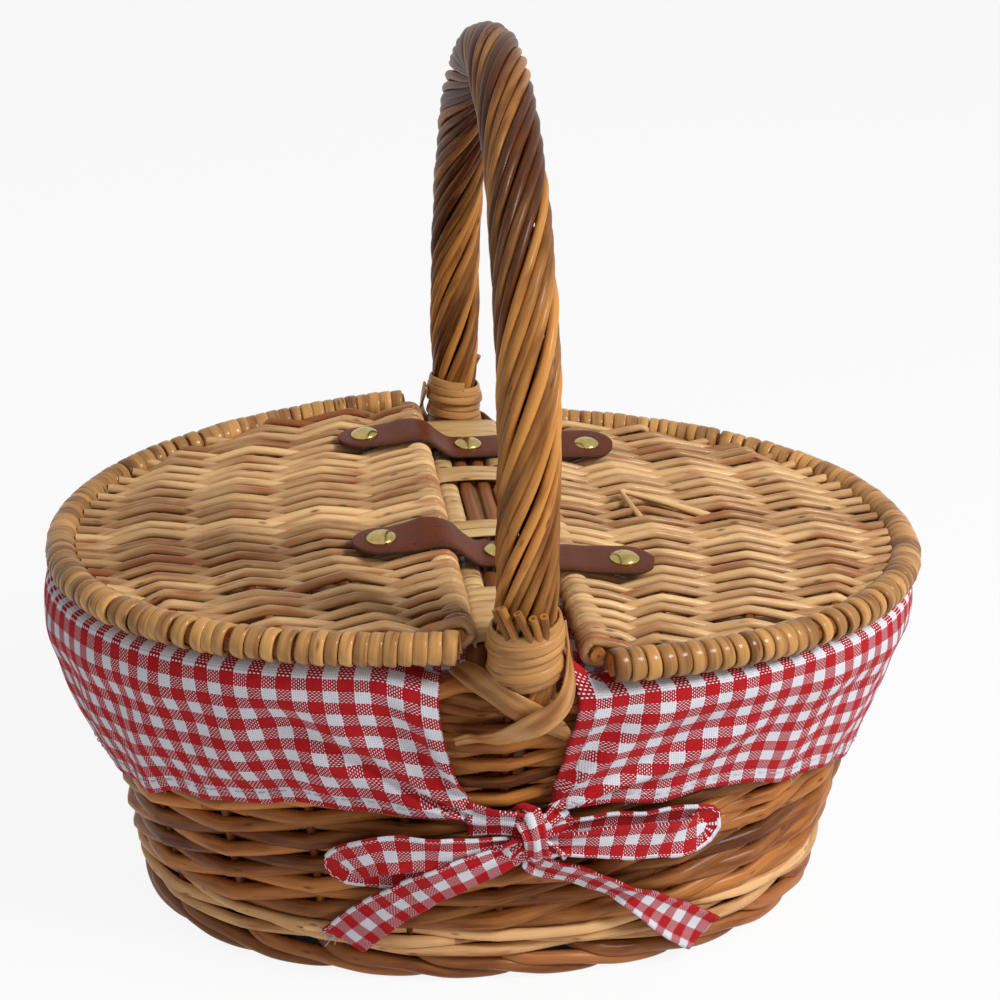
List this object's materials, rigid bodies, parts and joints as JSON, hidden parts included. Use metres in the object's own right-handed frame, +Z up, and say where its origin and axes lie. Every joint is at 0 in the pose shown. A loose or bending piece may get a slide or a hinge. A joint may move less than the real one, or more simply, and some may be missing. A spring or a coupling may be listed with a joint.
{
  "type": "picnic basket",
  "caption": "Oval woven willow basket with a fixed arched handle, two hinged lids on leather straps, and a gingham liner tied in bows.",
  "frame": {"origin": "on the floor below the middle of the basket", "axes": "+Z up; +X along the oval towards the right lid; -Y towards the front, where the picture's bow is tied"},
  "size_m": [0.3459, 0.2714, 0.3473],
  "materials": {
    "body_willow": "varnished willow rods, brown",
    "pale_willow": "varnished willow rods, honey",
    "lid_willow": "varnished split willow, light",
    "hoop_willow": "varnished willow, wrapped",
    "handle_willow": "varnished willow rods, golden brown",
    "skein": "flat willow skein, satin",
    "splint": "flat pale wood, matt",
    "stake_willow": "peeled willow rod, brown",
    "leather": "red-brown grained leather",
    "gingham": "red and white cotton gingham",
    "brass": "polished domed brass"
  },
  "bodies": {
    "basket": {"base_weave": "body_willow", "bow_back_knot": "gingham", "bow_back_loop_left": "gingham", "bow_back_loop_right": "gingham", "bow_back_tail_left": "gingham", "bow_back_tail_right": "gingham", "bow_front_knot": "gingham", "bow_front_loop_left": "gingham", "bow_front_loop_right": "gingham", "bow_front_tail_left": "gingham", "bow_front_tail_right": "gingham", "bridge_bar_back": "splint", "bridge_bar_front": "splint", "bridge_rod_1": "stake_willow", "bridge_rod_2": "stake_willow", "bridge_rod_3": "stake_willow", "bridge_rod_4": "stake_willow", "bridge_weave": "splint", "foot_border": "pale_willow", "handle_binding_back": "skein", "handle_binding_front": "skein", "handle_bow": "stake_willow", "handle_rope": "handle_willow", "lashing_over_back": "skein", "lashing_over_front": "skein", "lashing_under_back": "skein", "lashing_under_front": "skein", "liner_bag": "gingham", "lower_wale": "pale_willow", "rim_border": "body_willow", "rivet_back_middle": "brass", "rivet_front_middle": "brass", "rivet_ring_back_middle": "brass", "rivet_ring_front_middle": "brass", "side_weave": "body_willow", "skirt_left": "gingham", "skirt_right": "gingham", "strap_back": "leather", "strap_front": "leather"},
    "lid_left": {"lid_left_edge_rod": "hoop_willow", "lid_left_hoop": "hoop_willow", "lid_left_stake_1": "stake_willow", "lid_left_stake_2": "stake_willow", "lid_left_stake_3": "stake_willow", "lid_left_weave": "lid_willow", "rivet_front_left": "brass", "rivet_back_left": "brass", "rivet_ring_front_left": "brass", "rivet_ring_back_left": "brass"},
    "lid_right": {"lid_right_edge_rod": "hoop_willow", "lid_right_hoop": "hoop_willow", "lid_right_stake_1": "stake_willow", "lid_right_stake_2": "stake_willow", "lid_right_stake_3": "stake_willow", "lid_right_weave": "lid_willow", "rivet_front_right": "brass", "rivet_back_right": "brass", "rivet_ring_front_right": "brass", "rivet_ring_back_right": "brass"}
  },
  "joints": [
    {"name": "lid_left_hinge", "type": "hinge", "parent": "basket", "child": "lid_left", "pos_m": [-0.022, 0, 0.159], "axis": [0, 1, 0], "range_deg": [0, 95], "deforming": ["strap_front", "strap_back"]},
    {"name": "lid_right_hinge", "type": "hinge", "parent": "basket", "child": "lid_right", "pos_m": [0.027, 0, 0.1495], "axis": [0, -1, 0], "range_deg": [0, 95], "deforming": ["strap_front", "strap_back"]}
  ]
}
